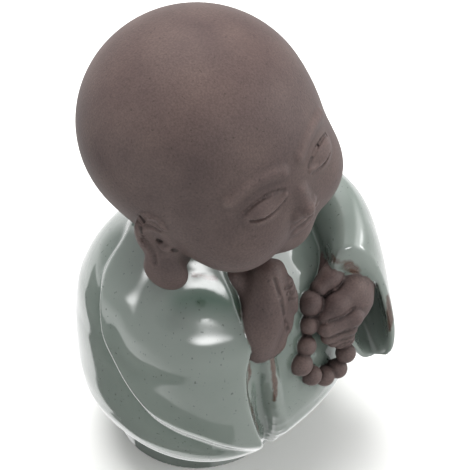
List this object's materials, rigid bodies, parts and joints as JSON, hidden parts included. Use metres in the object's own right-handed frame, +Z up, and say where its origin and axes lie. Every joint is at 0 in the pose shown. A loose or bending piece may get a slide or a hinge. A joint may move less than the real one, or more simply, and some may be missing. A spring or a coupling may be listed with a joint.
{
  "type": "baby monk statue",
  "caption": "Small ceramic figure of a baby monk with a large bowed head, one hand raised and the other holding prayer beads, in a wide-sleeved glazed robe.",
  "frame": {"origin": "centre of the figure's bounding box in plan, on the table it stands on", "axes": "+Z up from the base to the crown; -Y is where the figure faces; +X is the figure's own left"},
  "size_m": [0.063, 0.056, 0.1078],
  "materials": {
    "celadon_glaze": "glossy grey-green celadon glaze, thin and brown at the edges; the head, ears, hands and beads are bare, dull brown clay"
  },
  "bodies": {
    "root": {"baby_monk_statue": "celadon_glaze"}
  },
  "joints": []
}
